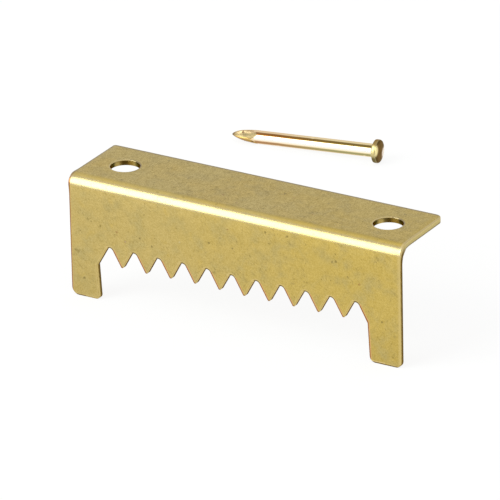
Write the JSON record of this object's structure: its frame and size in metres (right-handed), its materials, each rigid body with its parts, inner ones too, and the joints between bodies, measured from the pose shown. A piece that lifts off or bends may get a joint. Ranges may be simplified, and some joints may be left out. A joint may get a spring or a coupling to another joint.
{
  "type": "sawtooth picture hanger",
  "caption": "Folded brass strip with a toothed front edge that hangs a picture on a nail, a pierced flange to fix it by, and a loose wall nail beside it.",
  "frame": {"origin": "midway between the two nail holes, on the flange's outer face", "axes": "+X along the length, +Z out of the flange's outer face, -Y out of the toothed front face"},
  "size_m": [0.0522, 0.0531, 0.0154],
  "materials": {
    "plate_brass": "satin, lightly tarnished",
    "nail_brass": "polished"
  },
  "bodies": {
    "root": {"hanger_plate": "plate_brass", "nail": "nail_brass"}
  },
  "joints": []
}
